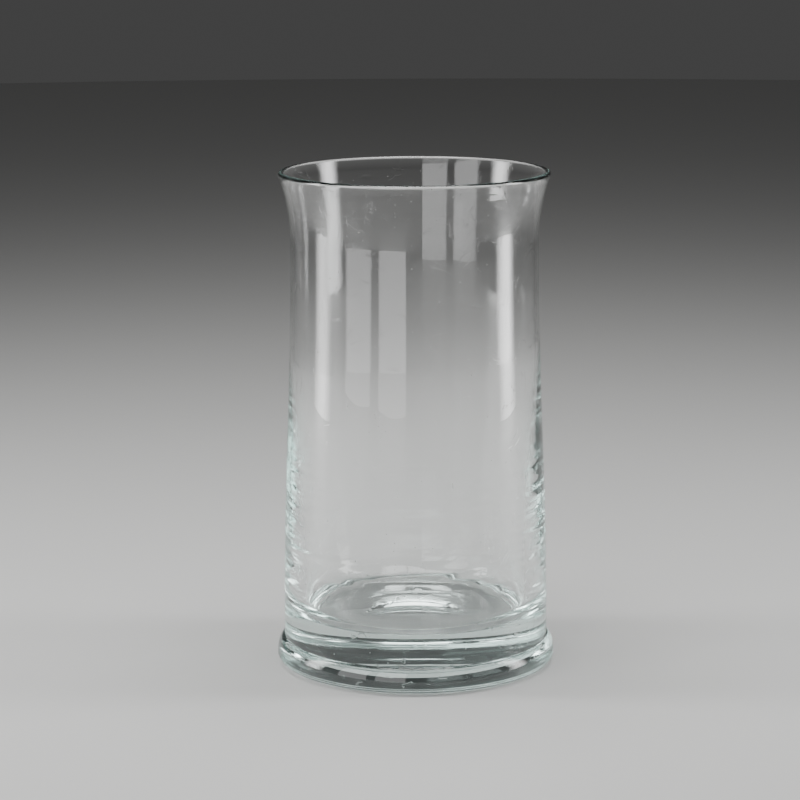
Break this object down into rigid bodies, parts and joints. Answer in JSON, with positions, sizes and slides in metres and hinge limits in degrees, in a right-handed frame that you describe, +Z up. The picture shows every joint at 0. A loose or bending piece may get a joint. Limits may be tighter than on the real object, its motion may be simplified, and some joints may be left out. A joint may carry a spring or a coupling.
{
  "type": "cylinder vase",
  "caption": "Clear glass cylinder vase with a flared fire-polished lip, a slightly tapering thick-bottomed bowl and a heavy applied foot.",
  "frame": {"origin": "middle of the ring that the vase stands on, at table height", "axes": "+Z up along the vase's axis of revolution; X and Y lie in the table plane and are interchangeable"},
  "size_m": [0.113, 0.113, 0.2],
  "materials": {
    "bowl_glass": "clear blown glass, fire-polished, very faint grey-green tint in the thickness",
    "foot_glass": "clear solid glass, fire-polished side, polished underside with fine shelf wear on the resting ring"
  },
  "bodies": {
    "root": {"bowl": "bowl_glass", "foot": "foot_glass"}
  },
  "joints": []
}
